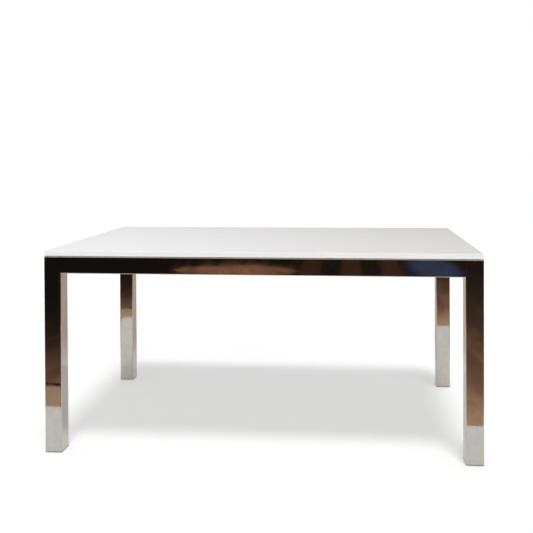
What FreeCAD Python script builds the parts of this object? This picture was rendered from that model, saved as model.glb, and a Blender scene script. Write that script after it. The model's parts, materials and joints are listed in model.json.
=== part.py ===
import FreeCAD
import Part
import Sketcher
import math
import os
import re

# Dining table: a flush white slab on a welded frame of polished square tube, with screw feet.
# Millimetres. X runs along the table, Y from the front to the back, Z up from the floor.

SIZES = {
    # Whole table
    "table_length": 1600,
    "table_width": 900,
    "table_height": 750,
    # Slab
    "top_thickness": 19,
    "top_arris_radius": 2,
    "top_corner_radius": 4,
    # Square tube of the legs and rails
    "tube_side": 63.5,
    "tube_wall": 1.5,
    "tube_radius": 3.5,
    # Plate that closes the upper end of a leg
    "cap_thickness": 5,
    "cap_round_share": 0.8,
    # Weld metal, ground flush, beside the rounded tube edges
    "weld_share": 0.75,
    # Box-section bearers under the slab
    "bearer_width": 40,
    "bearer_height": 20,
    "bearer_wall": 2,
    "bearer_radius": 3,
    "bearer_offset": 280,
    "bearer_hole_pitch": 300,
    # Tabs welded inside the rails
    "tab_length": 40,
    "tab_reach": 32,
    "tab_thickness": 4,
    "tab_hole_inset": 18,
    "long_tab_offset": 580,
    "short_tab_offset": 210,
    # Screws, washers, spacers and inserts that hold the slab down
    "screw_radius": 3,
    "screw_head_radius": 5.25,
    "screw_head_height": 3.3,
    "screw_head_rounding": 1.5,
    "screw_reach": 10,
    "socket_flats": 4,
    "socket_depth": 2,
    "washer_radius": 6,
    "washer_thickness": 1.6,
    "spacer_radius": 8,
    "insert_radius": 5,
    "insert_length": 12,
    "insert_pocket_depth": 12.5,
    # Bumpers between the slab and the frame
    "bumper_radius": 8,
    "bumper_thickness": 1,
    "bumper_pitch": 420,
    # Moulded plug in the lower end of a leg
    "plug_flange": 2,
    "plug_depth": 30,
    "plug_wall": 3,
    "plug_web": 5,
    "plug_rib": 2.5,
    "plug_rib_drop": 6,
    "boss_radius": 12,
    # Threaded bush in the plug
    "bush_radius": 7,
    "bush_length": 24,
    "bush_flange_radius": 9.5,
    "bush_flange": 2,
    # Screw foot: a stud that turns in a round pad
    "stud_radius": 5,
    "stud_length": 40,
    "stud_chamfer": 1,
    "collar_radius": 9,
    "collar_thickness": 2,
    "pivot_radius": 4,
    "rivet_radius": 6,
    "rivet_recess": 2.5,
    "rivet_lift": 0.8,
    "key_flats": 5,
    "key_depth": 3,
    "pad_radius": 20,
    "pad_height": 7,
    "pad_reveal": 3,
    "pad_chamfer": 1,
    # Clearances, and how far a cut runs past what it cuts
    "running_clearance": 0.08,
    "fit_clearance": 0.05,
    "plug_clearance": 0.15,
    "loose_clearance": 0.3,
    "pad_clearance": 0.6,
    "overrun": 1,
}

# Levels and places that follow from the sizes
DERIVED = {
    "top_underside": "table_height - top_thickness",
    "frame_top": "top_underside - bumper_thickness",
    "seat_level": "frame_top - tube_radius",
    "rail_axis": "frame_top - tube_side / 2",
    "leg_bottom": "pad_reveal + plug_flange",
    "leg_x": "(table_length - tube_side) / 2",
    "leg_y": "(table_width - tube_side) / 2",
    "inner_x": "table_length / 2 - tube_side",
    "inner_y": "table_width / 2 - tube_side",
    "tube_bore": "tube_side - 2 * tube_wall",
    "bore_radius": "tube_radius - tube_wall",
    "screw_hole_radius": "screw_radius + loose_clearance",
    "tab_underside": "seat_level - tab_thickness",
    "bearer_underside": "seat_level - bearer_height",
    "plug_top": "leg_bottom + plug_depth",
    "plug_side": "tube_bore - 2 * plug_clearance",
    "plug_radius": "bore_radius - plug_clearance",
    "recess_ceiling": "pad_height + loose_clearance",
    "collar_seat": "pad_height - collar_thickness",
}

# Each corner: side along X, side along Y, and the turn that brings its outer faces there
CORNERS = {
    "front_left": (-1, -1, 0),
    "front_right": (1, -1, 90),
    "rear_right": (1, 1, 180),
    "rear_left": (-1, 1, 270),
}
SIDES = (-1, 1)

doc = FreeCAD.newDocument("dining_table")
sheet = doc.addObject("Spreadsheet::Sheet", "sizes")
for row, (alias, size) in enumerate(SIZES.items(), 1):
    sheet.set(f"A{row}", alias)
    sheet.set(f"B{row}", str(size))
    sheet.setAlias(f"B{row}", alias)
doc.recompute()

nodes = []


def formula(text):
    """Write a sum of plain names as an expression on the sheet."""
    def cell(word):
        name = word[0]
        if name in DERIVED:
            return f"({formula(DERIVED[name])})"
        return f"sizes.{name}" if name in SIZES else name

    return re.sub(r"[a-z_]+", cell, text)


def number(text):
    """Give the present value of a sum of plain names."""
    return float(sheet.evalExpression(formula(text)))


def new_body(label):
    """Start a sub-part as a body that names its own file."""
    body = doc.addObject("PartDesign::Body", label)
    body.Label = label
    nodes.append(body)
    return body


def place(item, x="0", y="0", z="0", turn=0):
    """Turn an object about Z and bind its place to the sheet."""
    item.Placement.Rotation = FreeCAD.Rotation(FreeCAD.Vector(0, 0, 1), turn)
    for axis, text in zip("xyz", (x, y, z)):
        item.setExpression(f"Placement.Base.{axis}", formula(text))


def sketch_on(body, role, lift="0"):
    """Add a sketch on one of the body's own origin planes, lifted along its normal."""
    plane = next(item for item in body.Origin.OriginFeatures if item.Role == role)
    sketch = body.newObject("Sketcher::SketchObject", "Sketch")
    sketch.AttachmentSupport = [(plane, "")]
    sketch.MapMode = "FlatFace"
    sketch.setExpression("AttachmentOffset.Base.z", formula(lift))
    return sketch


def bind(sketch, constraint, text):
    """Add a sketch constraint whose value is bound to the sheet."""
    index = sketch.addConstraint(Sketcher.Constraint(*constraint, number(text)))
    sketch.setExpression(f"Constraints[{index}]", formula(text))


def pin(sketch, item, point, x, y):
    """Tie a point of a sketch to a place measured from the origin."""
    bind(sketch, ("DistanceX", -1, 1, item, point), x)
    bind(sketch, ("DistanceY", -1, 1, item, point), y)


def circle(sketch, radius, x="0", y="0"):
    """Draw a circle about a place."""
    center = FreeCAD.Vector(number(x), number(y), 0)
    item = sketch.addGeometry(Part.Circle(center, FreeCAD.Vector(0, 0, 1), number(radius)))
    bind(sketch, ("Radius", item), radius)
    pin(sketch, item, 3, x, y)


def polygon(sketch, points):
    """Draw a closed outline of straight lines."""
    spots = [FreeCAD.Vector(number(x), number(y), 0) for x, y in points]
    ends = spots[1:] + spots[:1]
    items = [sketch.addGeometry(Part.LineSegment(*pair)) for pair in zip(spots, ends)]
    for item, following, (x, y) in zip(items, items[1:] + items[:1], points):
        sketch.addConstraint(Sketcher.Constraint("Coincident", item, 2, following, 1))
        pin(sketch, item, 1, x, y)


def rectangle(sketch, length, width, x="0", y="0"):
    """Draw a rectangle about a place."""
    left, right = f"({x}) - ({length}) / 2", f"({x}) + ({length}) / 2"
    low, high = f"({y}) - ({width}) / 2", f"({y}) + ({width}) / 2"
    polygon(sketch, [(left, low), (right, low), (right, high), (left, high)])


def hexagon(sketch, flats, x="0", y="0"):
    """Draw a hexagon about a place, by the distance across its flats."""
    corner = f"({flats}) / sqrt(3)"
    corner_shares = [(1, 0), (0.5, 0.5), (-0.5, 0.5), (-1, 0), (-0.5, -0.5), (0.5, -0.5)]
    points = []
    for along, across in corner_shares:
        points.append((f"({x}) + {along} * {corner}", f"({y}) + {across} * ({flats})"))
    polygon(sketch, points)


def rounded_rectangle(sketch, length, width, radius):
    """Draw a rectangle with rounded corners about the origin."""
    x, y, r = number(length) / 2, number(width) / 2, number(radius)
    right_ends = [(x - r, -y), (x, r - y), (x, y - r), (x - r, y)]
    left_ends = [(r - x, y), (-x, y - r), (-x, r - y)]
    spots = [FreeCAD.Vector(*end, 0) for end in [(r - x, -y), *right_ends, *left_ends]]
    lines = [sketch.addGeometry(Part.LineSegment(*spots[i:i + 2])) for i in range(0, len(spots), 2)]
    arcs = []
    for turn, (side_x, side_y) in enumerate([(1, -1), (1, 1), (-1, 1), (-1, -1)]):
        center = FreeCAD.Vector(side_x * (x - r), side_y * (y - r), 0)
        full_round = Part.Circle(center, FreeCAD.Vector(0, 0, 1), r)
        quarter = Part.ArcOfCircle(full_round, math.radians(90 * turn - 90), math.radians(90 * turn))
        arcs.append(sketch.addGeometry(quarter))
    for line, arc, following in zip(lines, arcs, lines[1:] + lines[:1]):
        sketch.addConstraint(Sketcher.Constraint("Tangent", line, 2, arc, 1))
        sketch.addConstraint(Sketcher.Constraint("Tangent", arc, 2, following, 1))
        bind(sketch, ("Radius", arc), radius)
    low, right, high, left = lines
    for item in (low, high):
        sketch.addConstraint(Sketcher.Constraint("Horizontal", item))
    for item in (left, right):
        sketch.addConstraint(Sketcher.Constraint("Vertical", item))
    bind(sketch, ("DistanceX", -1, 1, right, 1), f"({length}) / 2")
    bind(sketch, ("DistanceX", -1, 1, left, 1), f"-1 * ({length}) / 2")
    bind(sketch, ("DistanceY", -1, 1, high, 1), f"({width}) / 2")
    bind(sketch, ("DistanceY", -1, 1, low, 1), f"-1 * ({width}) / 2")


def pad(body, sketch, length):
    """Raise a sketch along its normal."""
    feature = body.newObject("PartDesign::Pad", "Pad")
    feature.Profile = sketch
    feature.setExpression("Length", formula(length))
    doc.recompute()
    return feature


def pocket(body, sketch, depth, upward=False):
    """Cut a sketch into the body, down against its normal or upward along it."""
    feature = body.newObject("PartDesign::Pocket", "Pocket")
    feature.Profile = sketch
    feature.setExpression("Length", formula(depth))
    feature.Reversed = upward
    doc.recompute()
    return feature


def revolve(body, points):
    """Turn an outline of radius and height about the body's Z axis."""
    sketch = sketch_on(body, "XZ_Plane")
    polygon(sketch, points)
    feature = body.newObject("PartDesign::Revolution", "Revolution")
    feature.Profile = sketch
    feature.ReferenceAxis = (sketch, ["V_Axis"])
    doc.recompute()
    return feature


def fillet(body, base, radius, chosen):
    """Round the edges of a feature that a test of the edge picks out."""
    feature = body.newObject("PartDesign::Fillet", "Fillet")
    names = [f"Edge{index}" for index, edge in enumerate(base.Shape.Edges, 1) if chosen(edge)]
    feature.Base = (base, names)
    feature.setExpression("Radius", formula(radius))
    doc.recompute()
    return feature


def reaches(edge, axis, text):
    """Say whether both ends of an edge lie at a place along an axis."""
    return all(round(getattr(end, axis) - number(text), 3) == 0 for end in edge.Vertexes)


def tab_places():
    """List the fixing points on the tabs of the long rails, and on those of the short ones."""
    pairs = [(i, j) for i in SIDES for j in SIDES]
    long_side = [(f"{i} * long_tab_offset", f"{j} * (inner_y - tab_hole_inset)") for i, j in pairs]
    short_side = [(f"{i} * (inner_x - tab_hole_inset)", f"{j} * short_tab_offset") for i, j in pairs]
    return long_side, short_side


def bearer_places():
    """List the fixing points on the bearers."""
    return [(f"{i} * bearer_offset", f"{j} * bearer_hole_pitch") for i in SIDES for j in (-1, 0, 1)]


def fixing_places():
    """List every fixing point of the slab."""
    long_side, short_side = tab_places()
    return long_side + short_side + bearer_places()


def rings(body, places, level, height, outer, bore):
    """Raise a ring or, with no bore, a disc at each place."""
    sketch = sketch_on(body, "XY_Plane", level)
    for x, y in places:
        circle(sketch, outer, x, y)
        if bore:
            circle(sketch, bore, x, y)
    pad(body, sketch, height)


def table_top():
    """Lacquered slab with eased edges and blind holes for the inserts."""
    body = new_body("table_top")
    outline = sketch_on(body, "XY_Plane")
    rounded_rectangle(outline, "table_length", "table_width", "top_corner_radius")
    slab = pad(body, outline, "top_thickness")

    def arris(edge):
        return reaches(edge, "Z", "0") or reaches(edge, "Z", "top_thickness")

    fillet(body, slab, "top_arris_radius", arris)
    holes = sketch_on(body, "XY_Plane")
    for x, y in fixing_places():
        circle(holes, "insert_radius + fit_clearance", x, y)
    pocket(body, holes, "insert_pocket_depth", upward=True)
    place(body, z="top_underside")


def square_tube(label, role, length):
    """Square tube along the normal of one of the body's planes."""
    body = new_body(label)
    section = sketch_on(body, role)
    rounded_rectangle(section, "tube_side", "tube_side", "tube_radius")
    rounded_rectangle(section, "tube_bore", "tube_bore", "bore_radius")
    pad(body, section, length)
    return body


def leg(corner, side_x, side_y):
    """Upright tube from the foot plug to the cap."""
    body = square_tube(f"{corner}_leg", "XY_Plane", "frame_top - cap_thickness - leg_bottom")
    place(body, f"{side_x} * leg_x", f"{side_y} * leg_y", "leg_bottom")


def leg_cap(corner, side_x, side_y, turn):
    """Plate that closes a leg, with its two outer edges rounded like the tube."""
    body = new_body(f"{corner}_leg_cap")
    outline = sketch_on(body, "XY_Plane")
    rectangle(outline, "tube_side", "tube_side")
    plate = pad(body, outline, "cap_thickness")
    outer = "-1 * tube_side / 2"

    def outer_upright(edge):
        return reaches(edge, "X", outer) and reaches(edge, "Y", outer)

    def outer_top(edge):
        on_outer_side = reaches(edge, "X", outer) or reaches(edge, "Y", outer)
        return on_outer_side and reaches(edge, "Z", "cap_thickness")

    rounded = fillet(body, plate, "tube_radius", outer_upright)
    fillet(body, rounded, "min(tube_radius; cap_thickness * cap_round_share)", outer_top)
    place(body, f"{side_x} * leg_x", f"{side_y} * leg_y", "frame_top - cap_thickness", turn)


def rails():
    """Apron tubes between the legs, flush with their faces."""
    for label, side in zip(("front_rail", "rear_rail"), SIDES):
        body = square_tube(label, "YZ_Plane", "2 * inner_x")
        place(body, "-1 * inner_x", f"{side} * leg_y", "rail_axis")
    for label, side in zip(("left_rail", "right_rail"), SIDES):
        body = square_tube(label, "YZ_Plane", "2 * inner_y")
        place(body, f"{side} * leg_x", "-1 * inner_y", "rail_axis", turn=90)


def bearers():
    """Box-section bars across the frame, drilled for the slab screws."""
    for label, side in zip(("left_bearer", "right_bearer"), SIDES):
        body = new_body(label)
        section = sketch_on(body, "YZ_Plane")
        rounded_rectangle(section, "bearer_width", "bearer_height", "bearer_radius")
        rounded_rectangle(
            section,
            "bearer_width - 2 * bearer_wall",
            "bearer_height - 2 * bearer_wall",
            "bearer_radius - bearer_wall",
        )
        pad(body, section, "2 * inner_y")
        holes = sketch_on(body, "XY_Plane", "bearer_height / 2 + overrun")
        for step in (-1, 0, 1):
            circle(holes, "screw_hole_radius", f"inner_y + {step} * bearer_hole_pitch")
        pocket(body, holes, "bearer_height + 2 * overrun")
        place(body, f"{side} * bearer_offset", "-1 * inner_y", "seat_level - bearer_height / 2", turn=90)


def weld_strip(x, y, toward_x, toward_y):
    """Weld metal in the groove that a rounded leg edge leaves at a flush corner."""
    strip = "tube_radius * weld_share"
    height = "tube_side - tube_radius - cap_thickness"
    bottom = "frame_top - tube_side + tube_radius"
    block = doc.addObject("Part::Box", "WeldBlock")
    for side in ("Length", "Width"):
        block.setExpression(side, formula(strip))
    block.setExpression("Height", formula(height))
    low_x, low_y = min(toward_x, 0), min(toward_y, 0)
    place(block, f"{x} + {low_x} * {strip}", f"{y} + {low_y} * {strip}", bottom)
    edge = doc.addObject("Part::Cylinder", "LegEdge")
    edge.setExpression("Radius", formula("tube_radius"))
    edge.setExpression("Height", formula(height))
    place(edge, f"{x} + {toward_x} * tube_radius", f"{y} + {toward_y} * tube_radius", bottom)
    bead = doc.addObject("Part::Cut", "WeldBead")
    bead.Base = block
    bead.Tool = edge
    return bead


def corner_welds():
    """Three flush weld strips at each leg: one on each outer face and one inside."""
    beads = []
    for side_x, side_y, _ in CORNERS.values():
        outer_x, outer_y = f"{side_x} * table_length / 2", f"{side_y} * table_width / 2"
        inner_x, inner_y = f"{side_x} * inner_x", f"{side_y} * inner_y"
        beads.append(weld_strip(inner_x, outer_y, side_x, -side_y))
        beads.append(weld_strip(outer_x, inner_y, -side_x, side_y))
        beads.append(weld_strip(inner_x, inner_y, side_x, side_y))
    group = doc.addObject("Part::Compound", "corner_welds")
    group.Label = "corner_welds"
    group.Links = beads
    nodes.append(group)


def rail_tabs():
    """Drilled plates welded to the inner faces of the rails."""
    body = new_body("rail_tabs")
    outlines = sketch_on(body, "XY_Plane", "tab_underside")
    long_side, short_side = tab_places()
    for x, y in long_side:
        edge = y.replace("tab_hole_inset", "tab_reach / 2")
        rectangle(outlines, "tab_length", "tab_reach", x, edge)
    for x, y in short_side:
        edge = x.replace("tab_hole_inset", "tab_reach / 2")
        rectangle(outlines, "tab_reach", "tab_length", edge, y)
    for x, y in long_side + short_side:
        circle(outlines, "screw_hole_radius", x, y)
    pad(body, outlines, "tab_thickness")


def screws(label, places, seat):
    """Button-head screws driven up through a seat into the slab's inserts."""
    body = new_body(label)
    head_top = f"{seat} - washer_thickness"
    head_bottom = f"{head_top} - screw_head_height"
    rings(body, places, head_bottom, "screw_head_height", "screw_head_radius", None)
    fillet(body, body.Tip, "screw_head_rounding", lambda edge: reaches(edge, "Z", head_bottom))
    rings(body, places, head_top, f"top_underside + screw_reach - ({head_top})", "screw_radius", None)
    sockets = sketch_on(body, "XY_Plane", head_bottom)
    for x, y in places:
        hexagon(sockets, "socket_flats", x, y)
    pocket(body, sockets, "socket_depth", upward=True)


def slab_fixings():
    """Screws, washers, spacers, inserts and bumpers between the slab and the frame."""
    long_side, short_side = tab_places()
    seats = {"tab_underside": long_side + short_side, "bearer_underside": bearer_places()}
    for label, (seat, places) in zip(("tab_screws", "bearer_screws"), seats.items()):
        screws(label, places, seat)

    washers = new_body("screw_washers")
    for seat, places in seats.items():
        level = f"{seat} - washer_thickness"
        rings(washers, places, level, "washer_thickness", "washer_radius", "screw_hole_radius")

    spacers = new_body("top_spacers")
    spacer_height = "top_underside - seat_level"
    rings(spacers, fixing_places(), "seat_level", spacer_height, "spacer_radius", "screw_hole_radius")

    inserts = new_body("threaded_inserts")
    bore = "screw_radius + fit_clearance"
    rings(inserts, fixing_places(), "top_underside", "insert_length", "insert_radius", bore)

    bumpers = new_body("top_bumpers")
    at_legs = [(f"{i} * leg_x", f"{j} * leg_y") for i in SIDES for j in SIDES]
    on_long_rails = [(f"{i} * bumper_pitch", f"{j} * leg_y") for i in (-1, 0, 1) for j in SIDES]
    on_short_rails = [(f"{i} * leg_x", "0") for i in SIDES]
    places = at_legs + on_long_rails + on_short_rails
    rings(bumpers, places, "frame_top", "bumper_thickness", "bumper_radius", None)


def foot_plug(corner, x, y):
    """Moulded plug with a flange under the tube, a recess for the pad and a ribbed boss."""
    body = new_body(f"{corner}_foot_plug")
    flange = sketch_on(body, "XY_Plane", "pad_reveal")
    rounded_rectangle(flange, "tube_side", "tube_side", "tube_radius")
    pad(body, flange, "plug_flange")
    block = sketch_on(body, "XY_Plane", "leg_bottom")
    rounded_rectangle(block, "plug_side", "plug_side", "plug_radius")
    pad(body, block, "plug_depth")

    web_top = "recess_ceiling + plug_web"
    hollow = sketch_on(body, "XY_Plane", "plug_top")
    rectangle(hollow, "plug_side - 2 * plug_wall", "plug_side - 2 * plug_wall")
    circle(hollow, "boss_radius")
    pocket(body, hollow, f"plug_top - ({web_top})")

    rib_height = f"plug_top - plug_rib_drop - ({web_top})"
    span = "plug_side / 2 - plug_wall - boss_radius + plug_rib"
    middle = "(plug_side / 2 - plug_wall + boss_radius) / 2"
    ribs = sketch_on(body, "XY_Plane", web_top)
    for side in SIDES:
        rectangle(ribs, span, "plug_rib", x=f"{side} * {middle}")
        rectangle(ribs, "plug_rib", span, y=f"{side} * {middle}")
    pad(body, ribs, rib_height)

    recess = sketch_on(body, "XY_Plane", "pad_reveal")
    circle(recess, "pad_radius + pad_clearance")
    pocket(body, recess, "recess_ceiling - pad_reveal", upward=True)
    flange_seat = sketch_on(body, "XY_Plane", "pad_reveal")
    circle(flange_seat, "bush_flange_radius + fit_clearance")
    pocket(body, flange_seat, "pad_height + bush_flange - pad_reveal", upward=True)
    bore = sketch_on(body, "XY_Plane", "pad_reveal")
    circle(bore, "bush_radius + fit_clearance")
    pocket(body, bore, "plug_top - pad_reveal + overrun", upward=True)
    place(body, x, y)


def foot_bush(corner, x, y):
    """Flanged threaded bush that the stud screws into."""
    body = new_body(f"{corner}_foot_bush")
    bore = "stud_radius + running_clearance"
    revolve(body, [
        (bore, "pad_height"),
        ("bush_flange_radius", "pad_height"),
        ("bush_flange_radius", "pad_height + bush_flange"),
        ("bush_radius", "pad_height + bush_flange"),
        ("bush_radius", "pad_height + bush_length"),
        (bore, "pad_height + bush_length"),
    ])
    place(body, x, y)


def foot_stud(corner, x, y):
    """Stud with a collar, a pivot through the pad and a riveted end with a key socket."""
    body = new_body(f"{corner}_foot_stud")
    rivet_top = "rivet_recess - running_clearance"
    stud_top = "pad_height + stud_length"
    revolve(body, [
        ("0", "rivet_lift"),
        ("rivet_radius", "rivet_lift"),
        ("rivet_radius", rivet_top),
        ("pivot_radius", rivet_top),
        ("pivot_radius", "collar_seat"),
        ("collar_radius", "collar_seat"),
        ("collar_radius", "pad_height"),
        ("stud_radius", "pad_height"),
        ("stud_radius", f"{stud_top} - stud_chamfer"),
        ("stud_radius - stud_chamfer", stud_top),
        ("0", stud_top),
    ])
    key = sketch_on(body, "XY_Plane", "rivet_lift")
    hexagon(key, "key_flats")
    pocket(body, key, "key_depth", upward=True)
    place(body, x, y)


def foot_pad(corner, x, y):
    """Round pad that stays still on the floor while the stud turns in it."""
    body = new_body(f"{corner}_foot_pad")
    bore = "pivot_radius + running_clearance"
    revolve(body, [
        (bore, "rivet_recess"),
        ("rivet_radius + loose_clearance", "rivet_recess"),
        ("rivet_radius + loose_clearance", "0"),
        ("pad_radius - pad_chamfer", "0"),
        ("pad_radius", "pad_chamfer"),
        ("pad_radius", "pad_height - pad_chamfer"),
        ("pad_radius - pad_chamfer", "pad_height"),
        ("collar_radius + loose_clearance", "pad_height"),
        ("collar_radius + loose_clearance", "collar_seat"),
        (bore, "collar_seat"),
    ])
    place(body, x, y)


def check_document():
    """Stop if anything failed to build, or a pocket cut nothing."""
    for item in doc.Objects:
        if "Invalid" in item.State or "Error" in item.State:
            raise RuntimeError(f"{item.Label} failed: {item.State}")
        if item.TypeId == "PartDesign::Pocket" and item.Shape.Volume >= item.BaseFeature.Shape.Volume:
            raise RuntimeError(f"{item.Label} cuts nothing")
    for node in nodes:
        if node.Shape.isNull() or not node.Shape.isValid():
            raise RuntimeError(f"{node.Label} has no valid shape")


def export_nodes():
    """Write each sub-part to its own file."""
    os.makedirs("parts", exist_ok=True)
    for node in nodes:
        node.Shape.exportStep(f"parts/{node.Label}.step")
        print(node.Label, len(node.Shape.Solids), round(node.Shape.Volume))


table_top()
rails()
bearers()
corner_welds()
rail_tabs()
slab_fixings()
for corner, (side_x, side_y, turn) in CORNERS.items():
    leg(corner, side_x, side_y)
    leg_cap(corner, side_x, side_y, turn)
    for foot_piece in (foot_plug, foot_bush, foot_stud, foot_pad):
        foot_piece(corner, f"{side_x} * leg_x", f"{side_y} * leg_y")
doc.recompute()
check_document()
export_nodes()
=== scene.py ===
import json
import math

import bmesh
import bpy
from bpy.props import FloatProperty, FloatVectorProperty, IntProperty, PointerProperty
from bpy.types import NodeSocket, Operator, Panel, PropertyGroup
from mathutils import Matrix, Vector


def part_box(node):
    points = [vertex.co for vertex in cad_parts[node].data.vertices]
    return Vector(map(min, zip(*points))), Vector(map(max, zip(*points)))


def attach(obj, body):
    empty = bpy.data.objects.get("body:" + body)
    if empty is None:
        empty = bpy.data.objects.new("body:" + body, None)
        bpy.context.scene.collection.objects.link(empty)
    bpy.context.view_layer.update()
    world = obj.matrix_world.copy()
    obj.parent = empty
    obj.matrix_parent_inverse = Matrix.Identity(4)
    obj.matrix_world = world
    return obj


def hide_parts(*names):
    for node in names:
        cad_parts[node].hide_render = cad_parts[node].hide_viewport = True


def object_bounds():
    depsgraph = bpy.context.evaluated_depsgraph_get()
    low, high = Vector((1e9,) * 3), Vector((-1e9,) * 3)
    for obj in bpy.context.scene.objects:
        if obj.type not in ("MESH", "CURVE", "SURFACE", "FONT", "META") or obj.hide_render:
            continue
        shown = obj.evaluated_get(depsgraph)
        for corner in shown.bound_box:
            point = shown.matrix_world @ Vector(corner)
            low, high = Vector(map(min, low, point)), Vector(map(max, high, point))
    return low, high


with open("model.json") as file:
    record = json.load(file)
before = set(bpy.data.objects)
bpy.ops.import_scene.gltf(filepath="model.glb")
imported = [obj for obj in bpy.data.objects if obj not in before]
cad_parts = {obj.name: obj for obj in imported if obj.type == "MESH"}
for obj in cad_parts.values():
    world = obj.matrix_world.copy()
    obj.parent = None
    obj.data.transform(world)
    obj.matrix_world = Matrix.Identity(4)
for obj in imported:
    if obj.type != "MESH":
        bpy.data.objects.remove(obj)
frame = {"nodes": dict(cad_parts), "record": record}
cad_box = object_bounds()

bl_info = {
    "name": "Parsons Dining Table",
    "version": (1, 0, 0),
    "blender": (4, 5, 0),
    "location": "View3D > Sidebar > Parsons Table",
    "description": "Models the slab, tube frame and feet of a dining table, and sets it in a white studio",
    "category": "Add Mesh",
}

# In order round the table, so that each leg cap is a quarter turn on from the one before it
CORNERS = ("front_left", "front_right", "rear_right", "rear_left")
QUARTER_TURN = math.pi / 2
LENGTHWISE, CROSSWISE, UPRIGHT = range(3)
RECORD_COLOUR = {row["slot"]: row["base_color"] for row in frame["record"]["materials"]}
BLACK = (0, 0, 0)
WHITE = (1, 1, 1)

# Points nearer than this count as one, and a piece fills the place of its node to within the second length
TOUCH = 1e-5
FIT = 0.0005

# Share of a face's normal along an axis from which the face lies square across that axis
SQUARE = 0.99

# Edges that turn by less than this are smooth
SMOOTH_BELOW = math.radians(40)


def length(name, description, default):
    """A setting in metres"""
    return FloatProperty(name=name, description=description, default=default, min=0.0001, unit="LENGTH")


def colour(name, description, default):
    """A setting for a colour"""
    return FloatVectorProperty(name=name, description=description, default=default, subtype="COLOR",
                               min=0, max=1)


def level(name, description, default):
    """A setting for a strength or a share"""
    return FloatProperty(name=name, description=description, default=default, min=0, soft_max=2)


def angle(name, description, degrees):
    """A setting for an angle"""
    return FloatProperty(name=name, description=description, default=math.radians(degrees), subtype="ANGLE")


class TableSizes(PropertyGroup):
    """Roundings and walls of the pieces, which the boxes of the frame don't give"""
    tube_rounding: length("Tube rounding", "Outside radius on the long edges of legs and rails", 0.0035)
    tube_wall: length("Tube wall", "Wall of the legs and rails", 0.0015)
    bearer_rounding: length("Bearer rounding", "Outside radius on the long edges of the bearers", 0.003)
    bearer_wall: length("Bearer wall", "Wall of the bearers", 0.002)
    slab_corner: length("Slab corner", "Radius of the slab's upright corners", 0.004)
    slab_arris: length("Slab arris", "Radius along the slab's upper and lower edges", 0.002)
    round_steps: IntProperty(name="Rounding steps", description="Flats that make up a rounding",
                             default=6, min=2)


class TableFinishes(PropertyGroup):
    """Colours of the table's seven finishes"""
    lacquer: colour("Lacquer", "White gloss of the slab", RECORD_COLOUR["white_lacquer"])
    sealer: colour("Sealer", "Duller white of the slab's underside", (0.72, 0.71, 0.69))
    polished: colour("Polished steel", "Mirror finish of legs and rails", RECORD_COLOUR["polished_steel"])
    haze: colour("Polishing haze", "Where the mirror finish is faintly hazed", (0.505, 0.475, 0.43))
    mill: colour("Mill steel", "Bearers and tabs under the slab", RECORD_COLOUR["frame_steel"])
    zinc: colour("Zinc plate", "Screws, washers, bushes and studs", RECORD_COLOUR["zinc_steel"])
    brass: colour("Brass", "Threaded inserts in the slab", RECORD_COLOUR["insert_brass"])
    silicone: colour("Silicone", "Spacers and bumpers under the slab", RECORD_COLOUR["pale_silicone"])
    nylon: colour("Nylon", "Plugs and pads of the feet", RECORD_COLOUR["black_nylon"])


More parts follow.
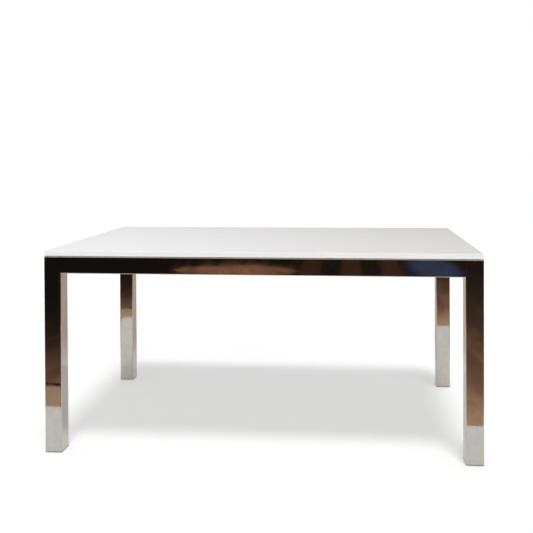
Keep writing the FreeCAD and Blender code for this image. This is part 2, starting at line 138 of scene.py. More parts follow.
class StudioSettings(PropertyGroup):
    """Camera, light and the surroundings that the polished steel shows"""
    camera_place: FloatVectorProperty(name="Camera place", description="Where the camera stands",
                                      unit="LENGTH", subtype="TRANSLATION", default=(0.3327, -2.9015, 1.0894))
    camera_turn: FloatVectorProperty(name="Camera turn", description="How the camera is turned",
                                     unit="ROTATION", subtype="EULER",
                                     default=(math.pi / 2 - 0.0108, 0.0040, 0.0825))
    lens: FloatProperty(name="Lens", description="Focal length", default=46.32, unit="CAMERA")
    frame_shift: FloatVectorProperty(name="Frame shift", size=2, default=(-0.0509, -0.1892),
                                     description="Shift of the picture, as a share of its width")
    sky: level("Sky", "Even light from all round", 0.5)
    sun: level("Overhead light", "Strength of the light above", 1.6)
    sun_lean: angle("Overhead light, lean", "How far that light stands towards the front", 17)
    sun_side: angle("Overhead light, side", "How far that light stands to the right", 4)
    sun_spread: angle("Overhead light, spread", "Width of that light, which softens the shadow", 13)
    fill: level("Front light", "Strength of the soft light from the front", 0.8)
    fill_lean: angle("Front light, lean", "How far that light stands down from overhead", 75)
    fill_turn: angle("Front light, turn", "How far that light is turned to the right", 30)
    fill_spread: angle("Front light, spread", "Width of that light", 60)
    floor: colour("Floor", "White floor under the table", (0.9, 0.9, 0.9))
    floor_glow: level("Floor glow", "Share of the floor's white that no shadow takes away", 0.38)
    # Painted shade: mottled crease shade on the white floor, seen only in the steel
    floor_crease_shade: level("Floor creases", "Share of its white that creases take in the steel", 0.09)
    white_front: length("White floor, front", "How far it reaches before the table in the steel", 0.405)
    white_side: length("White floor, side", "How far it reaches beside the table in the steel", 0.45)
    white_back: length("White floor, back", "How far it reaches behind the table in the steel", 0.15)
    white_slant: angle("White floor, slant", "How far its edges are turned in the steel", 2.7502)
    tan_floor: colour("Tan floor", "Where the white floor ends before the table", (0.54, 0.37, 0.25))
    warm_near: colour("Warm floor, near", "Brown floor beyond the tan one", (0.52, 0.28, 0.175))
    warm_far: colour("Warm floor, far", "The same floor further away", (0.012, 0.009, 0.008))
    warm_band: colour("Warm band", "Lit bands of that floor", (0.06, 0.028, 0.017))
    warm_patch: colour("Warm patch", "Lit patch of that floor", (0.38, 0.17, 0.10))
    cool_patch: colour("Cool patch", "Bluish patch of that floor", (0.055, 0.072, 0.15))
    # Painted shadow: the grey where the white floor ends behind the table carries the table's shadow on there
    floor_edge_shadow: colour("Floor edge", "Where the white floor ends behind the table", (0.75, 0.745, 0.74))
    pale_floor: colour("Pale floor", "Floor behind the white one", (0.62, 0.52, 0.46))
    dark_wall: colour("Dark wall", "Lower part of the wall before the table", (0.03, 0.024, 0.02))
    warm_wall: colour("Warm wall", "Middle of the wall before the table", (0.80, 0.72, 0.63))
    beige_wall: colour("Beige wall", "Upper part of the wall before the table", (1.0, 0.71, 0.45))
    pale_wall: colour("Pale wall", "Left part of the wall behind the table", (0.93, 0.93, 0.95))
    dim_wall: colour("Dim wall", "Right part of the wall behind the table", (0.56, 0.50, 0.46))


# Shaping

def add_block(name, low, high):
    """A new block between two corners, alone in the selection, with its place in its mesh"""
    bpy.ops.object.select_all(action="DESELECT")
    bpy.ops.mesh.primitive_cube_add(size=1, location=(low + high) / 2, scale=high - low)
    bpy.ops.object.transform_apply(location=True, rotation=True, scale=True)
    block = bpy.context.active_object
    block.name = block.data.name = name
    return block


def round_edges(piece, wanted, radius, steps):
    """Rounds the edges whose two ends pass the test"""
    bpy.ops.object.mode_set(mode="EDIT")
    bpy.ops.mesh.select_mode(type="EDGE")
    bpy.ops.mesh.select_all(action="DESELECT")
    mesh = bmesh.from_edit_mesh(piece.data)
    for edge in mesh.edges:
        if wanted(edge.verts[0].co, edge.verts[1].co):
            edge.select_set(True)
    bmesh.update_edit_mesh(piece.data)
    bpy.ops.mesh.bevel(offset=radius, segments=steps, affect="EDGES")
    bpy.ops.object.mode_set(mode="OBJECT")


def open_ends(piece, axis):
    """Takes away the two faces that lie across an axis"""
    bpy.ops.object.mode_set(mode="EDIT")
    bpy.ops.mesh.select_mode(type="FACE")
    bpy.ops.mesh.select_all(action="DESELECT")
    mesh = bmesh.from_edit_mesh(piece.data)
    for face in mesh.faces:
        if abs(face.normal[axis]) > SQUARE:
            face.select_set(True)
    bmesh.update_edit_mesh(piece.data)
    bpy.ops.mesh.delete(type="FACE")
    bpy.ops.object.mode_set(mode="OBJECT")


def thicken(piece, wall):
    """Gives an open skin its wall, inwards"""
    solidify = piece.modifiers.new("Wall", "SOLIDIFY")
    solidify.thickness = wall
    solidify.offset = -1
    solidify.use_even_offset = True
    bpy.ops.object.modifier_apply(modifier=solidify.name)


def smooth(piece):
    """Smooth roundings, with the large faces kept flat"""
    bpy.ops.object.shade_smooth_by_angle(angle=SMOOTH_BELOW)
    normals = piece.modifiers.new("Flat faces", "WEIGHTED_NORMAL")
    normals.weight = 100
    normals.keep_sharp = True
    bpy.ops.object.modifier_apply(modifier=normals.name)


def square_tube(name, node, axis, rounding, wall, steps):
    """A length of square tube in the place of a node, with its long edges rounded and its ends open"""
    low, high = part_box(node)
    across = [i for i in range(3) if i != axis]
    tube = add_block(name, low, high)
    round_edges(tube, lambda a, b: all(abs(a[i] - b[i]) < TOUCH for i in across), rounding, steps)
    open_ends(tube, axis)
    thicken(tube, wall)
    smooth(tube)
    return tube


def middle_of(piece):
    """The middle of a piece's box"""
    corners = [Vector(corner) for corner in piece.bound_box]
    return sum(corners, Vector()) / len(corners)


def copy_to(piece, name, node, turn=0):
    """A copy with its own mesh in the place of another node, turned about its own upright middle line"""
    bpy.ops.object.select_all(action="DESELECT")
    bpy.context.view_layer.objects.active = piece
    piece.select_set(True)
    start = middle_of(piece)
    # A copy keeps what its original stands for, so a piece is copied before it stands for its node
    bpy.ops.object.duplicate(linked=False)
    copy = bpy.context.active_object
    copy.name = copy.data.name = name
    low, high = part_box(node)
    placed = Matrix.Translation((low + high) / 2) @ Matrix.Rotation(turn, 4, "Z")
    copy.matrix_world = placed @ Matrix.Translation(-start)
    bpy.ops.object.transform_apply(location=True, rotation=True, scale=True)
    return copy


def like_tubes(names, axis, rounding, wall, steps):
    """Tubes that are alike, one for each node: the first is modelled and the others are copies of it"""
    (first_node, first_name), *others = names.items()
    first = square_tube(first_name, first_node, axis, rounding, wall, steps)
    tubes = {first_node: first}
    for node, name in others:
        tubes[node] = copy_to(first, name, node)
    return tubes


def stand_for(piece, node, body, material):
    """Puts a finished piece in the place of its node, and checks that it fills that place"""
    low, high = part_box(node)
    for i in range(3):
        reach = [corner[i] for corner in piece.bound_box]
        if abs(min(reach) - low[i]) > FIT or abs(max(reach) - high[i]) > FIT:
            raise RuntimeError(f"{piece.name} does not fill the place of {node}")
    piece.data.materials.clear()
    piece.data.materials.append(material)
    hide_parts(node)
    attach(piece, body)


def dress(node, material):
    """Gives a node of the frame, whose shape stays, its finish"""
    for slot in frame["nodes"][node].material_slots:
        slot.material = material


# Nodes

def feed(tree, socket, given):
    """Gives a socket a link, or a number, vector or colour of its own"""
    if isinstance(given, NodeSocket):
        tree.links.new(given, socket)
    elif socket.type == "RGBA":
        socket.default_value = (*given, 1)
    else:
        socket.default_value = given


def add_node(tree, kind, given, **options):
    """A new node, with its options set and its inputs given by name or number"""
    node = tree.nodes.new(kind)
    for option, value in options.items():
        setattr(node, option, value)
    for name, value in given.items():
        feed(tree, node.inputs[name], value)
    return node


def own_place(tree):
    """Places on the piece itself"""
    node = tree.nodes.get("Texture Coordinate") or tree.nodes.new("ShaderNodeTexCoord")
    return node.outputs["Object"]


def own_axes(tree):
    """The same places as three numbers, X, Y and Z"""
    return add_node(tree, "ShaderNodeSeparateXYZ", {"Vector": own_place(tree)}).outputs


def calculate(tree, operation, *values):
    """The result of one sum"""
    return add_node(tree, "ShaderNodeMath", dict(enumerate(values)), operation=operation).outputs["Value"]


def step(tree, value, start, end, low=0, high=1, interpolation_type="SMOOTHSTEP"):
    """A value that goes from low to high between two places, smoothly unless the last word says otherwise"""
    given = {"Value": value, "From Min": start, "From Max": end, "To Min": low, "To Max": high}
    node = add_node(tree, "ShaderNodeMapRange", given, interpolation_type=interpolation_type)
    return node.outputs["Result"]


def mixed(tree, factor, first, second, data_type="RGBA"):
    """A colour between two others, or a number where the data type is FLOAT"""
    given = {"Factor": factor, "A": first, "B": second}
    return add_node(tree, "ShaderNodeMix", given, data_type=data_type).outputs["Result"]


def noise(tree, place, scale, detail, roughness, distortion=0):
    """Noise from 0 to 1"""
    given = {"Vector": place, "Scale": scale, "Detail": detail, "Roughness": roughness,
             "Distortion": distortion}
    return add_node(tree, "ShaderNodeTexNoise", given).outputs["Fac"]


# Shared effects

def new_group(name, numbers, output, build):
    """A node group that makes one number from a place and some other numbers"""
    group = bpy.data.node_groups.new(name, "ShaderNodeTree")
    group.interface.new_socket("Vector", in_out="INPUT", socket_type="NodeSocketVector")
    for title in numbers:
        group.interface.new_socket(title, in_out="INPUT", socket_type="NodeSocketFloat")
    group.interface.new_socket(output, in_out="OUTPUT", socket_type="NodeSocketFloat")
    given = group.nodes.new("NodeGroupInput").outputs
    result = group.nodes.new("NodeGroupOutput").inputs[output]
    feed(group, result, build(group, given))
    return group


def effect(tree, name, numbers, output, build):
    """A shared effect in a material, read on the piece's own places. Its group is built the first time"""
    group = bpy.data.node_groups.get(name) or new_group(name, numbers, output, build)
    given = {"Vector": own_place(tree), **numbers}
    return add_node(tree, "ShaderNodeGroup", given, node_tree=group).outputs[output]


def build_smears(group, given):
    """Noise spread from Low to High"""
    cloud = noise(group, given["Vector"], given["Scale"], detail=5, roughness=0.6, distortion=0.8)
    return step(group, cloud, start=0.3, end=0.7, low=given["Low"], high=given["High"])


def smears(tree, scale, low=0, high=1):
    """Soft patches left by wiping, from low to high"""
    numbers = {"Scale": scale, "Low": low, "High": high}
    return effect(tree, "Wiped smears", numbers, "Value", build_smears)


def build_relief(group, given):
    """Coarse noise with a share of noise that is five times as fine"""
    fineness = 5
    coarse = noise(group, given["Vector"], given["Scale"], detail=1, roughness=0.4)
    fine_scale = calculate(group, "MULTIPLY", given["Scale"], fineness)
    fine = noise(group, given["Vector"], fine_scale, detail=2, roughness=0.5)
    return mixed(group, given["Fine share"], coarse, fine, data_type="FLOAT")


def relief(tree, scale, fine_share):
    """Two sizes of soft relief, one in the other, as a height"""
    numbers = {"Scale": scale, "Fine share": fine_share}
    return effect(tree, "Fine relief", numbers, "Height", build_relief)


def build_streaks(group, given):
    """Noise as fine along each axis as its number says"""
    fineness = {axis: given[f"Along {axis}"] for axis in "XYZ"}
    stretch = add_node(group, "ShaderNodeCombineXYZ", fineness).outputs["Vector"]
    scaled = add_node(group, "ShaderNodeVectorMath", {0: given["Vector"], 1: stretch}, operation="MULTIPLY")
    return noise(group, scaled.outputs["Vector"], scale=1, detail=4, roughness=0.65)


def streaks(tree, x, y, z):
    """Long lines along one axis, as rolling or turning leaves them"""
    numbers = {"Along X": x, "Along Y": y, "Along Z": z}
    return effect(tree, "Drawn lines", numbers, "Value", build_streaks)


# Finishes

def new_finish(name, metallic=0):
    """A new material, with its nodes and the sockets of its shader"""
    material = bpy.data.materials.new(name)
    material.use_nodes = True
    tree = material.node_tree
    surface = tree.nodes["Principled BSDF"].inputs
    surface["Metallic"].default_value = metallic
    return material, tree, surface


def paint(tree, surface, mask, dark, light):
    """Colours the surface between two colours by a mask"""
    feed(tree, surface["Base Color"], mixed(tree, mask, dark, light))


def roughen(tree, surface, scale, low, high):
    """Makes the surface less and more rough in soft patches"""
    feed(tree, surface["Roughness"], smears(tree, scale, low, high))


def emboss(tree, surface, height, depth):
    """Bends the surface's normal by a height of a real depth"""
    bump = add_node(tree, "ShaderNodeBump", {"Strength": 1, "Distance": depth, "Height": height})
    feed(tree, surface["Normal"], bump.outputs["Normal"])


def shade(base, share):
    """A colour darker or lighter by a share"""
    return tuple(channel * share for channel in base)


def lacquer_finish(finishes, underside):
    """White gloss lacquer with a trace of orange peel, and a duller sealer on the underside"""
    sealer_roughness, sealer_end, lacquer_start = 0.55, underside + 0.0002, underside + 0.0012
    material, tree, surface = new_finish("White lacquer")
    height = own_axes(tree)["Z"]
    above = step(tree, height, sealer_end, lacquer_start, interpolation_type="LINEAR")
    lacquer = mixed(tree, smears(tree, scale=3), shade(finishes.lacquer, share=0.975), finishes.lacquer)
    paint(tree, surface, above, finishes.sealer, lacquer)
    gloss = smears(tree, scale=9, low=0.045, high=0.10)
    feed(tree, surface["Roughness"], mixed(tree, above, sealer_roughness, gloss, data_type="FLOAT"))
    emboss(tree, surface, relief(tree, scale=140, fine_share=0.25), depth=0.000004)
    return material


def polished_finish(finishes):
    """Mirror-polished steel: slightly wavy from the wheel, with patches of faint haze"""
    material, tree, surface = new_finish("Polished steel", metallic=1)
    paint(tree, surface, smears(tree, scale=26), finishes.haze, finishes.polished)
    roughen(tree, surface, scale=16, low=0.025, high=0.075)
    emboss(tree, surface, relief(tree, scale=9, fine_share=0.06), depth=0.00012)
    return material


def mill_finish(finishes):
    """Rolled steel as it comes, with long lines and dull patches"""
    material, tree, surface = new_finish("Mill steel", metallic=1)
    lines = streaks(tree, x=420, y=9, z=420)
    paint(tree, surface, lines, shade(finishes.mill, share=0.72), shade(finishes.mill, share=1.12))
    roughen(tree, surface, scale=22, low=0.3, high=0.5)
    emboss(tree, surface, lines, depth=0.00002)
    return material


def zinc_finish(finishes):
    """Bright zinc plate with a faint spangle"""
    material, tree, surface = new_finish("Zinc plate", metallic=1)
    paint(tree, surface, smears(tree, scale=320), shade(finishes.zinc, share=0.78), finishes.zinc)
    roughen(tree, surface, scale=150, low=0.22, high=0.42)
    emboss(tree, surface, relief(tree, scale=900, fine_share=0.4), depth=0.00002)
    return material


def brass_finish(finishes):
    """Turned brass with rings of tool marks"""
    material, tree, surface = new_finish("Turned brass", metallic=1)
    rings = streaks(tree, x=30, y=30, z=2600)
    paint(tree, surface, rings, shade(finishes.brass, share=0.75), finishes.brass)
    roughen(tree, surface, scale=200, low=0.2, high=0.36)
    emboss(tree, surface, rings, depth=0.00002)
    return material


def silicone_finish(finishes):
    """Pale silicone rubber with a soft skin"""
    material, tree, surface = new_finish("Pale silicone")
    paint(tree, surface, smears(tree, scale=180), shade(finishes.silicone, share=0.9), finishes.silicone)
    roughen(tree, surface, scale=260, low=0.34, high=0.52)
    emboss(tree, surface, relief(tree, scale=700, fine_share=0.3), depth=0.00004)
    return material


def nylon_finish(finishes):
    """Moulded black nylon with a fine spark-eroded grain"""
    material, tree, surface = new_finish("Black nylon")
    paint(tree, surface, smears(tree, scale=120), finishes.nylon, shade(finishes.nylon, share=1.7))
    roughen(tree, surface, scale=90, low=0.42, high=0.6)
    emboss(tree, surface, relief(tree, scale=1300, fine_share=0.35), depth=0.00008)
    return material


def finish_named(name, maker, *values):
    """The material of that name, made the first time that it is asked for"""
    return bpy.data.materials.get(name) or maker(bpy.context.scene.table_finishes, *values)


def polished_steel():
    """The finish of legs, caps, rails and welds"""
    return finish_named("Polished steel", polished_finish)


# Pieces

class TABLE_OT_slab(Operator):
    """Model the white slab with its rounded corners and eased edges"""
    bl_idname = "parsons_table.slab"
    bl_label = "Slab"

    def execute(self, context):
        sizes = context.scene.table_sizes
        low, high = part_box("table_top")
        lacquer = finish_named("White lacquer", lacquer_finish, low.z)
        slab = add_block("white_slab", low, high)
        round_edges(slab, lambda a, b: abs(a.z - b.z) > TOUCH, sizes.slab_corner, sizes.round_steps)
        round_edges(slab, lambda a, b: abs(a.z - b.z) < TOUCH, sizes.slab_arris, sizes.round_steps)
        smooth(slab)
        stand_for(slab, "table_top", "table", lacquer)
        return {"FINISHED"}


class TABLE_OT_legs(Operator):
    """Model one leg of square tube and copy it to the other corners"""
    bl_idname = "parsons_table.legs"
    bl_label = "Legs"

    def execute(self, context):
        sizes = context.scene.table_sizes
        names = {f"{corner}_leg": f"{corner}_tube_leg" for corner in CORNERS}
        legs = like_tubes(names, UPRIGHT, sizes.tube_rounding, sizes.tube_wall, sizes.round_steps)
        for node, leg in legs.items():
            stand_for(leg, node, "table", polished_steel())
        return {"FINISHED"}


class TABLE_OT_leg_caps(Operator):
    """Model the plate on top of one leg, with its outer edges rounded, and turn copies onto the others"""
    bl_idname = "parsons_table.leg_caps"
    bl_label = "Leg caps"

    def execute(self, context):
        sizes = context.scene.table_sizes
        low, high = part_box("front_left_leg_cap")

        def outer(a, b):
            """The upright edge at the outer corner, and the two upper edges that meet it"""
            left = abs(a.x - low.x) < TOUCH and abs(b.x - low.x) < TOUCH
            front = abs(a.y - low.y) < TOUCH and abs(b.y - low.y) < TOUCH
            upper = abs(a.z - high.z) < TOUCH and abs(b.z - high.z) < TOUCH
            return (left and front) or (upper and (left or front))

        first = add_block("front_left_cap_plate", low, high)
        round_edges(first, outer, sizes.tube_rounding, sizes.round_steps)
        smooth(first)
        caps = {"front_left_leg_cap": first}
        for turns, corner in enumerate(CORNERS[1:], 1):
            node = f"{corner}_leg_cap"
            caps[node] = copy_to(first, f"{corner}_cap_plate", node, turns * QUARTER_TURN)
        for node, cap in caps.items():
            stand_for(cap, node, "table", polished_steel())
        return {"FINISHED"}


class TABLE_OT_rails(Operator):
    """Model a long and a short rail of square tube, and copy each to the other side"""
    bl_idname = "parsons_table.rails"
    bl_label = "Rails"

    def execute(self, context):
        sizes = context.scene.table_sizes
        pairs = {LENGTHWISE: ("front_rail", "rear_rail"), CROSSWISE: ("left_rail", "right_rail")}
        for axis, pair in pairs.items():
            names = {node: f"{node}_tube" for node in pair}
            rails = like_tubes(names, axis, sizes.tube_rounding, sizes.tube_wall, sizes.round_steps)
            for node, rail in rails.items():
                stand_for(rail, node, "table", polished_steel())
        dress("corner_welds", polished_steel())
        return {"FINISHED"}


class TABLE_OT_bearers(Operator):
    """Model one box-section bearer, copy it to the other side, and finish the rail tabs to match"""
    bl_idname = "parsons_table.bearers"
    bl_label = "Bearers and tabs"

    def execute(self, context):
        sizes = context.scene.table_sizes
        mill = finish_named("Mill steel", mill_finish)
        names = {f"{side}_bearer": f"{side}_box_bearer" for side in ("left", "right")}
        bearers = like_tubes(names, CROSSWISE, sizes.bearer_rounding, sizes.bearer_wall, sizes.round_steps)
        for node, bearer in bearers.items():
            stand_for(bearer, node, "table", mill)
        dress("rail_tabs", mill)
        return {"FINISHED"}


class TABLE_OT_fixings(Operator):
    """Finish the screws, washers, inserts, spacers and bumpers that hold the slab"""
    bl_idname = "parsons_table.fixings"
    bl_label = "Slab fixings"

    def execute(self, context):
        for node in ("tab_screws", "bearer_screws", "screw_washers"):
            dress(node, finish_named("Zinc plate", zinc_finish))
        for node in ("top_spacers", "top_bumpers"):
            dress(node, finish_named("Pale silicone", silicone_finish))
        dress("threaded_inserts", finish_named("Turned brass", brass_finish))
        return {"FINISHED"}


class TABLE_OT_feet(Operator):
    """Finish the plug, bush, stud and pad at the bottom of each leg"""
    bl_idname = "parsons_table.feet"
    bl_label = "Screw feet"

    def execute(self, context):
        for corner in CORNERS:
            for part in ("plug", "pad"):
                dress(f"{corner}_foot_{part}", finish_named("Black nylon", nylon_finish))
            for part in ("bush", "stud"):
                dress(f"{corner}_foot_{part}", finish_named("Zinc plate", zinc_finish))
        return {"FINISHED"}


# Studio

def seen_directly_or_in_gloss(tree):
    """1 for what the camera sees, directly, in gloss or through something clear, and 0 for stray light"""
    path = tree.nodes.new("ShaderNodeLightPath").outputs
    seen = calculate(tree, "MAXIMUM", path["Is Camera Ray"], path["Is Glossy Ray"])
    return calculate(tree, "MAXIMUM", seen, path["Is Transmission Ray"])


def white_sky(scene, strength):
    """White where it is seen, and an even light of its own strength elsewhere"""
    world = bpy.data.worlds.new("White studio")
    world.use_nodes = True
    scene.world = world
    tree = world.node_tree
    background = tree.nodes["Background"].inputs
    feed(tree, background["Color"], WHITE)
    seen = seen_directly_or_in_gloss(tree)
    feed(tree, background["Strength"], step(tree, seen, start=0, end=1, low=strength, high=1))


def stretched_noise(tree, scale):
    """Noise on a floor or card, as fine along each axis as its scale says"""
    stretch = add_node(tree, "ShaderNodeMapping", {"Vector": own_place(tree), "Scale": scale})
    return noise(tree, stretch.outputs["Vector"], scale=1, detail=3, roughness=0.6, distortion=0.5)


def patch(tree, middle, reach, softness=0.1):
    """1 on a ragged oval of a card, and 0 round it"""
    rim, ragged_scale = 1.4, (4, 6, 1)
    given = {"Vector": own_place(tree), "Location": middle, "Scale": reach}
    oval = add_node(tree, "ShaderNodeMapping", given, vector_type="TEXTURE").outputs["Vector"]
    off = add_node(tree, "ShaderNodeVectorMath", {0: oval}, operation="LENGTH").outputs["Value"]
    ragged = calculate(tree, "ADD", off, stretched_noise(tree, ragged_scale))
    return step(tree, ragged, rim + softness, rim - softness)


def faded(tree, distance, fall):
    """Light that dies away with distance"""
    falls = calculate(tree, "DIVIDE", calculate(tree, "MULTIPLY", distance, -1), fall)
    return calculate(tree, "EXPONENT", falls)


def floor_finish(studio):
    """White floor that keeps a soft shadow, with faint painted crease shade in what the steel shows of it"""
    crease_shade_scale, faintest_crease_shade = (60, 26, 1), 0.04
    material, tree, surface = new_finish("White floor")
    surface["Specular IOR Level"].default_value = 0
    surface["Roughness"].default_value = 1
    feed(tree, surface["Emission Color"], WHITE)
    seen = seen_directly_or_in_gloss(tree)
    in_gloss = tree.nodes.new("ShaderNodeLightPath").outputs["Is Glossy Ray"]
    # Painted crease shade: darker mottling of the white floor, only in what the steel shows of it
    crease_shade = step(tree, stretched_noise(tree, crease_shade_scale), start=0.3, end=0.7,
                   low=studio.floor_crease_shade, high=faintest_crease_shade)
    left = calculate(tree, "SUBTRACT", 1, calculate(tree, "MULTIPLY", in_gloss, crease_shade))
    white = calculate(tree, "MULTIPLY", 1 - studio.floor_glow, left)
    paint(tree, surface, seen, studio.floor, white)
    glow = calculate(tree, "MULTIPLY", calculate(tree, "MULTIPLY", seen, studio.floor_glow), left)
    feed(tree, surface["Emission Strength"], glow)
    return material


def new_card(name):
    """A self-lit material, with its nodes, the socket of its colour, and the three axes of its card"""
    material = bpy.data.materials.new(name)
    material.use_nodes = True
    tree = material.node_tree
    tree.nodes.remove(tree.nodes["Principled BSDF"])
    glow = tree.nodes.new("ShaderNodeEmission")
    feed(tree, tree.nodes["Material Output"].inputs["Surface"], glow.outputs["Emission"])
    return material, tree, glow.inputs["Color"], own_axes(tree)


def lit_bands(tree, across):
    """1 on bands that run away from the table, all in one patch of the floor"""
    pace, offset, blur = 16.1, 0.9, 0.1
    waves = calculate(tree, "COSINE", calculate(tree, "MULTIPLY_ADD", across, pace, offset))
    lit = patch(tree, middle=(0.35, -4.8, 0), reach=(0.7, 1.5, 1))
    return calculate(tree, "MULTIPLY", step(tree, waves, -blur, blur), lit)


def brown_floor(tree, studio, across, ahead):
    """Brown floor, darker with distance and sooner so on the left, with worn streaks and far bands"""
    streak_scale = (9, 1.6, 1)
    fall = step(tree, across, start=-1.4, end=1.1, low=0.40, high=1.05)
    worn = step(tree, stretched_noise(tree, streak_scale), start=0.44, end=0.56, low=0.75, high=1.12)
    light = calculate(tree, "MULTIPLY", faded(tree, ahead, fall), worn)
    far = mixed(tree, lit_bands(tree, across), studio.warm_far, studio.warm_band)
    return mixed(tree, light, far, studio.warm_near)


def painted_shadow_line(tree, ahead):
    """1 on a wavering line across the floor, where a dark shadow line is painted"""
    waver, waver_scale, middle, half_width = 0.08, (5, 5, 1), 0.325, 0.025
    wavering = calculate(tree, "MULTIPLY_ADD", stretched_noise(tree, waver_scale), waver, ahead)
    return calculate(tree, "COMPARE", wavering, middle, half_width)


def front_floor(tree, studio, across, ahead):
    """Brown floor with two lit patches, tan near the white floor, and a painted shadow line in the tan on the
    left
    """
    left, right = -0.4, 0.4
    warm = patch(tree, middle=(-0.77, -4.55, 0), reach=(0.62, 0.36, 1))
    cool = patch(tree, middle=(1.15, -4.85, 0), reach=(0.24, 0.9, 1), softness=0.4)
    shown = brown_floor(tree, studio, across, ahead)
    shown = mixed(tree, warm, shown, studio.warm_patch)
    shown = mixed(tree, cool, shown, studio.cool_patch)
    tan_from = step(tree, across, left, right, low=0.29, high=0.5)
    tan_to = step(tree, across, left, right, low=0.27, high=0)
    shown = mixed(tree, step(tree, ahead, tan_from, tan_to), shown, studio.tan_floor)
    # Painted shadow line, in the far floor's dark, across the tan on the left
    shadow_line_mask = calculate(tree, "MULTIPLY", painted_shadow_line(tree, ahead), step(tree, across, right, left))
    return mixed(tree, shadow_line_mask, shown, studio.warm_far)


def warm_floor_finish(studio, right, near, far):
    """What lies beyond the white floor: warm before and beside the table, pale behind it"""
    material, tree, result, place = new_card("Warm floor")
    edge = calculate(tree, "MULTIPLY_ADD", place["X"], studio.white_slant, near)
    ahead = calculate(tree, "SUBTRACT", edge, place["Y"])
    aside = calculate(tree, "ABSOLUTE", place["X"])
    behind = calculate(tree, "SUBTRACT", place["Y"], far)
    off = calculate(tree, "MAXIMUM", calculate(tree, "SUBTRACT", aside, right), behind)
    front = front_floor(tree, studio, place["X"], ahead)
    side = mixed(tree, faded(tree, off, fall=0.7), studio.warm_far, studio.tan_floor)
    # Behind the table the card starts grey with painted shadow, which carries on the table's shadow from the
    # white floor, and goes over to the pale floor
    back = mixed(tree, step(tree, behind, start=0, end=0.6), studio.floor_edge_shadow, studio.pale_floor)
    back = mixed(tree, step(tree, behind, start=3, end=3.6), back, studio.warm_far)
    past_table = step(tree, behind, start=-0.3, end=0)
    within_sides = step(tree, aside, start=1.12, end=1.08)
    rest = mixed(tree, calculate(tree, "MULTIPLY", past_table, within_sides), side, back)
    feed(tree, result, mixed(tree, step(tree, ahead, start=-0.01, end=0), rest, front))
    return material


def wall_finish(studio):
    """Before the table dark, warm and then beige. Behind it pale on the left, dim on the right and low"""
    material, tree, result, place = new_card("Far wall")
    front = mixed(tree, step(tree, place["Z"], start=0.9, end=1.7), studio.dark_wall, studio.warm_wall)
    front = mixed(tree, step(tree, place["Z"], start=5, end=7), front, studio.beige_wall)
    back = mixed(tree, step(tree, place["X"], start=-5.5, end=3.5), studio.pale_wall, studio.dim_wall)
    back = mixed(tree, step(tree, place["Z"], start=0.8, end=2.1, low=0.45, high=0), back, BLACK)
    feed(tree, result, mixed(tree, step(tree, place["Y"], start=-3, end=3), front, back))
    return material


def show_only_in_gloss(card):
    """Leaves a card to reflections: it is not seen, throws no shadow and lights nothing"""
    card.visible_camera = False
    card.visible_diffuse = False
    card.visible_shadow = False
    card.visible_transmission = False
    card.visible_volume_scatter = False


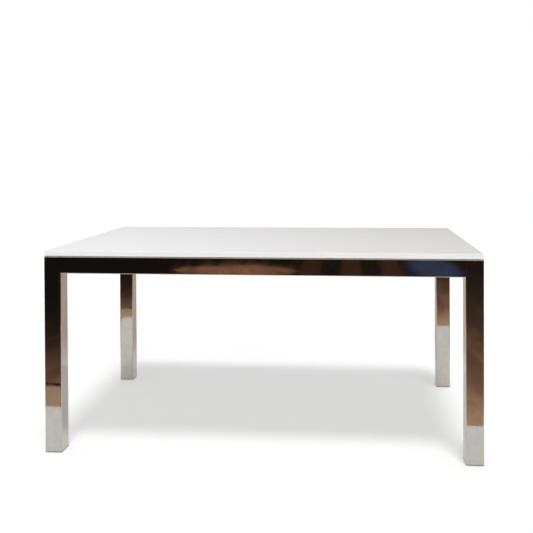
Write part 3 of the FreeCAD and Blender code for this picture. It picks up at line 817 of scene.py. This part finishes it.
class TABLE_OT_studio(Operator):
    """Set the floor, the cards that the steel reflects, the light and the camera"""
    bl_idname = "parsons_table.studio"
    bl_label = "Studio"

    def execute(self, context):
        scene = context.scene
        studio = scene.table_studio
        low, high = cad_box
        self.add_floor(studio)
        self.add_warm_floor(studio, low, high)
        self.add_wall(studio)
        white_sky(scene, studio.sky)
        self.add_lights(studio)
        self.add_camera(scene, studio)
        scene.view_settings.view_transform = "Standard"
        return {"FINISHED"}

    def add_floor(self, studio):
        """A white floor that reaches far beyond the picture"""
        bpy.ops.object.select_all(action="DESELECT")
        bpy.ops.mesh.primitive_plane_add(size=60)
        floor = bpy.context.active_object
        floor.name = "white_floor"
        floor.data.materials.append(floor_finish(studio))

    def add_warm_floor(self, studio, low, high):
        """A warm floor round the white one, just above it and seen only in the steel"""
        lift, outer_size = 0.002, (7, 11, 1)
        left, right = low.x - studio.white_side, high.x + studio.white_side
        near, far = low.y - studio.white_front, high.y + studio.white_back
        card_middle = ((left + right) / 2, (near + far) / 2, lift)
        bpy.ops.object.select_all(action="DESELECT")
        bpy.ops.mesh.primitive_plane_add(size=1, location=card_middle)
        bpy.ops.object.transform_apply(location=True, rotation=True, scale=True)
        card = bpy.context.active_object
        card.name = "warm_floor_card"
        bpy.ops.object.mode_set(mode="EDIT")
        bpy.ops.mesh.select_all(action="SELECT")
        bpy.ops.transform.resize(value=(right - left, far - near, 1), center_override=card_middle)
        bpy.ops.transform.rotate(value=-studio.white_slant, orient_axis="Z", center_override=card_middle)
        bpy.ops.mesh.delete(type="ONLY_FACE")
        bpy.ops.mesh.select_mode(type="EDGE")
        bpy.ops.mesh.select_all(action="SELECT")
        bpy.ops.mesh.extrude_edges_move()
        bpy.ops.transform.resize(value=outer_size, center_override=card_middle)
        bpy.ops.object.mode_set(mode="OBJECT")
        card.data.materials.append(warm_floor_finish(studio, right, near, far))
        show_only_in_gloss(card)

    def add_wall(self, studio):
        """A round wall far from the table, seen only in gloss"""
        height = 30
        bpy.ops.object.select_all(action="DESELECT")
        bpy.ops.mesh.primitive_cylinder_add(vertices=64, radius=9, depth=height, end_fill_type="NOTHING",
                                            location=(0, 0, height / 2))
        bpy.ops.object.transform_apply(location=True, rotation=True, scale=True)
        wall = bpy.context.active_object
        wall.name = "wall_card"
        wall.data.materials.append(wall_finish(studio))
        show_only_in_gloss(wall)

    def add_lights(self, studio):
        """One light from above, which throws the shadow, and a wide soft one from the front"""
        overhead_turn = (studio.sun_lean, studio.sun_side, 0)
        front_turn = (studio.fill_lean, 0, studio.fill_turn)
        self.add_sun("overhead_light", studio.sun, studio.sun_spread, overhead_turn)
        self.add_sun("front_light", studio.fill, studio.fill_spread, front_turn)

    def add_sun(self, name, strength, spread, turn):
        """A light from far away, which the steel doesn't show"""
        lamp_place = (0, -2, 4)
        bpy.ops.object.light_add(type="SUN", location=lamp_place, rotation=turn)
        light = bpy.context.active_object
        light.name = name
        light.data.energy = strength
        light.data.angle = spread
        light.visible_glossy = False

    def add_camera(self, scene, studio):
        """The camera that the table is seen through"""
        bpy.ops.object.camera_add(location=studio.camera_place, rotation=studio.camera_turn)
        scene.camera = bpy.context.active_object
        scene.camera.data.lens = studio.lens
        scene.camera.data.shift_x, scene.camera.data.shift_y = studio.frame_shift


PIECE_OPERATORS = (TABLE_OT_slab, TABLE_OT_legs, TABLE_OT_leg_caps, TABLE_OT_rails, TABLE_OT_bearers,
                   TABLE_OT_fixings, TABLE_OT_feet, TABLE_OT_studio)


class TABLE_PT_pieces(Panel):
    """Lists the settings for sizes, finishes and studio, and the operators"""
    bl_idname = "TABLE_PT_pieces"
    bl_label = "Parsons Table"
    bl_space_type = "VIEW_3D"
    bl_region_type = "UI"
    bl_category = "Parsons Table"

    def draw(self, context):
        scene = context.scene
        for settings in (scene.table_sizes, scene.table_finishes, scene.table_studio):
            box = self.layout.box()
            for name in settings.__annotations__:
                box.prop(settings, name)
        for operator in PIECE_OPERATORS:
            self.layout.operator(operator.bl_idname)


CLASSES = (TableSizes, TableFinishes, StudioSettings, *PIECE_OPERATORS, TABLE_PT_pieces)


def register():
    """Adds the settings, operators and panel"""
    for cls in CLASSES:
        bpy.utils.register_class(cls)
    bpy.types.Scene.table_sizes = PointerProperty(type=TableSizes)
    bpy.types.Scene.table_finishes = PointerProperty(type=TableFinishes)
    bpy.types.Scene.table_studio = PointerProperty(type=StudioSettings)


def unregister():
    """Takes them away again"""
    del bpy.types.Scene.table_studio
    del bpy.types.Scene.table_finishes
    del bpy.types.Scene.table_sizes
    for cls in reversed(CLASSES):
        bpy.utils.unregister_class(cls)


def main():
    """Models the pieces in order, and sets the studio"""
    register()
    bpy.ops.parsons_table.slab()
    bpy.ops.parsons_table.legs()
    bpy.ops.parsons_table.leg_caps()
    bpy.ops.parsons_table.rails()
    bpy.ops.parsons_table.bearers()
    bpy.ops.parsons_table.fixings()
    bpy.ops.parsons_table.feet()
    bpy.ops.parsons_table.studio()


if __name__ == "__main__":
    main()
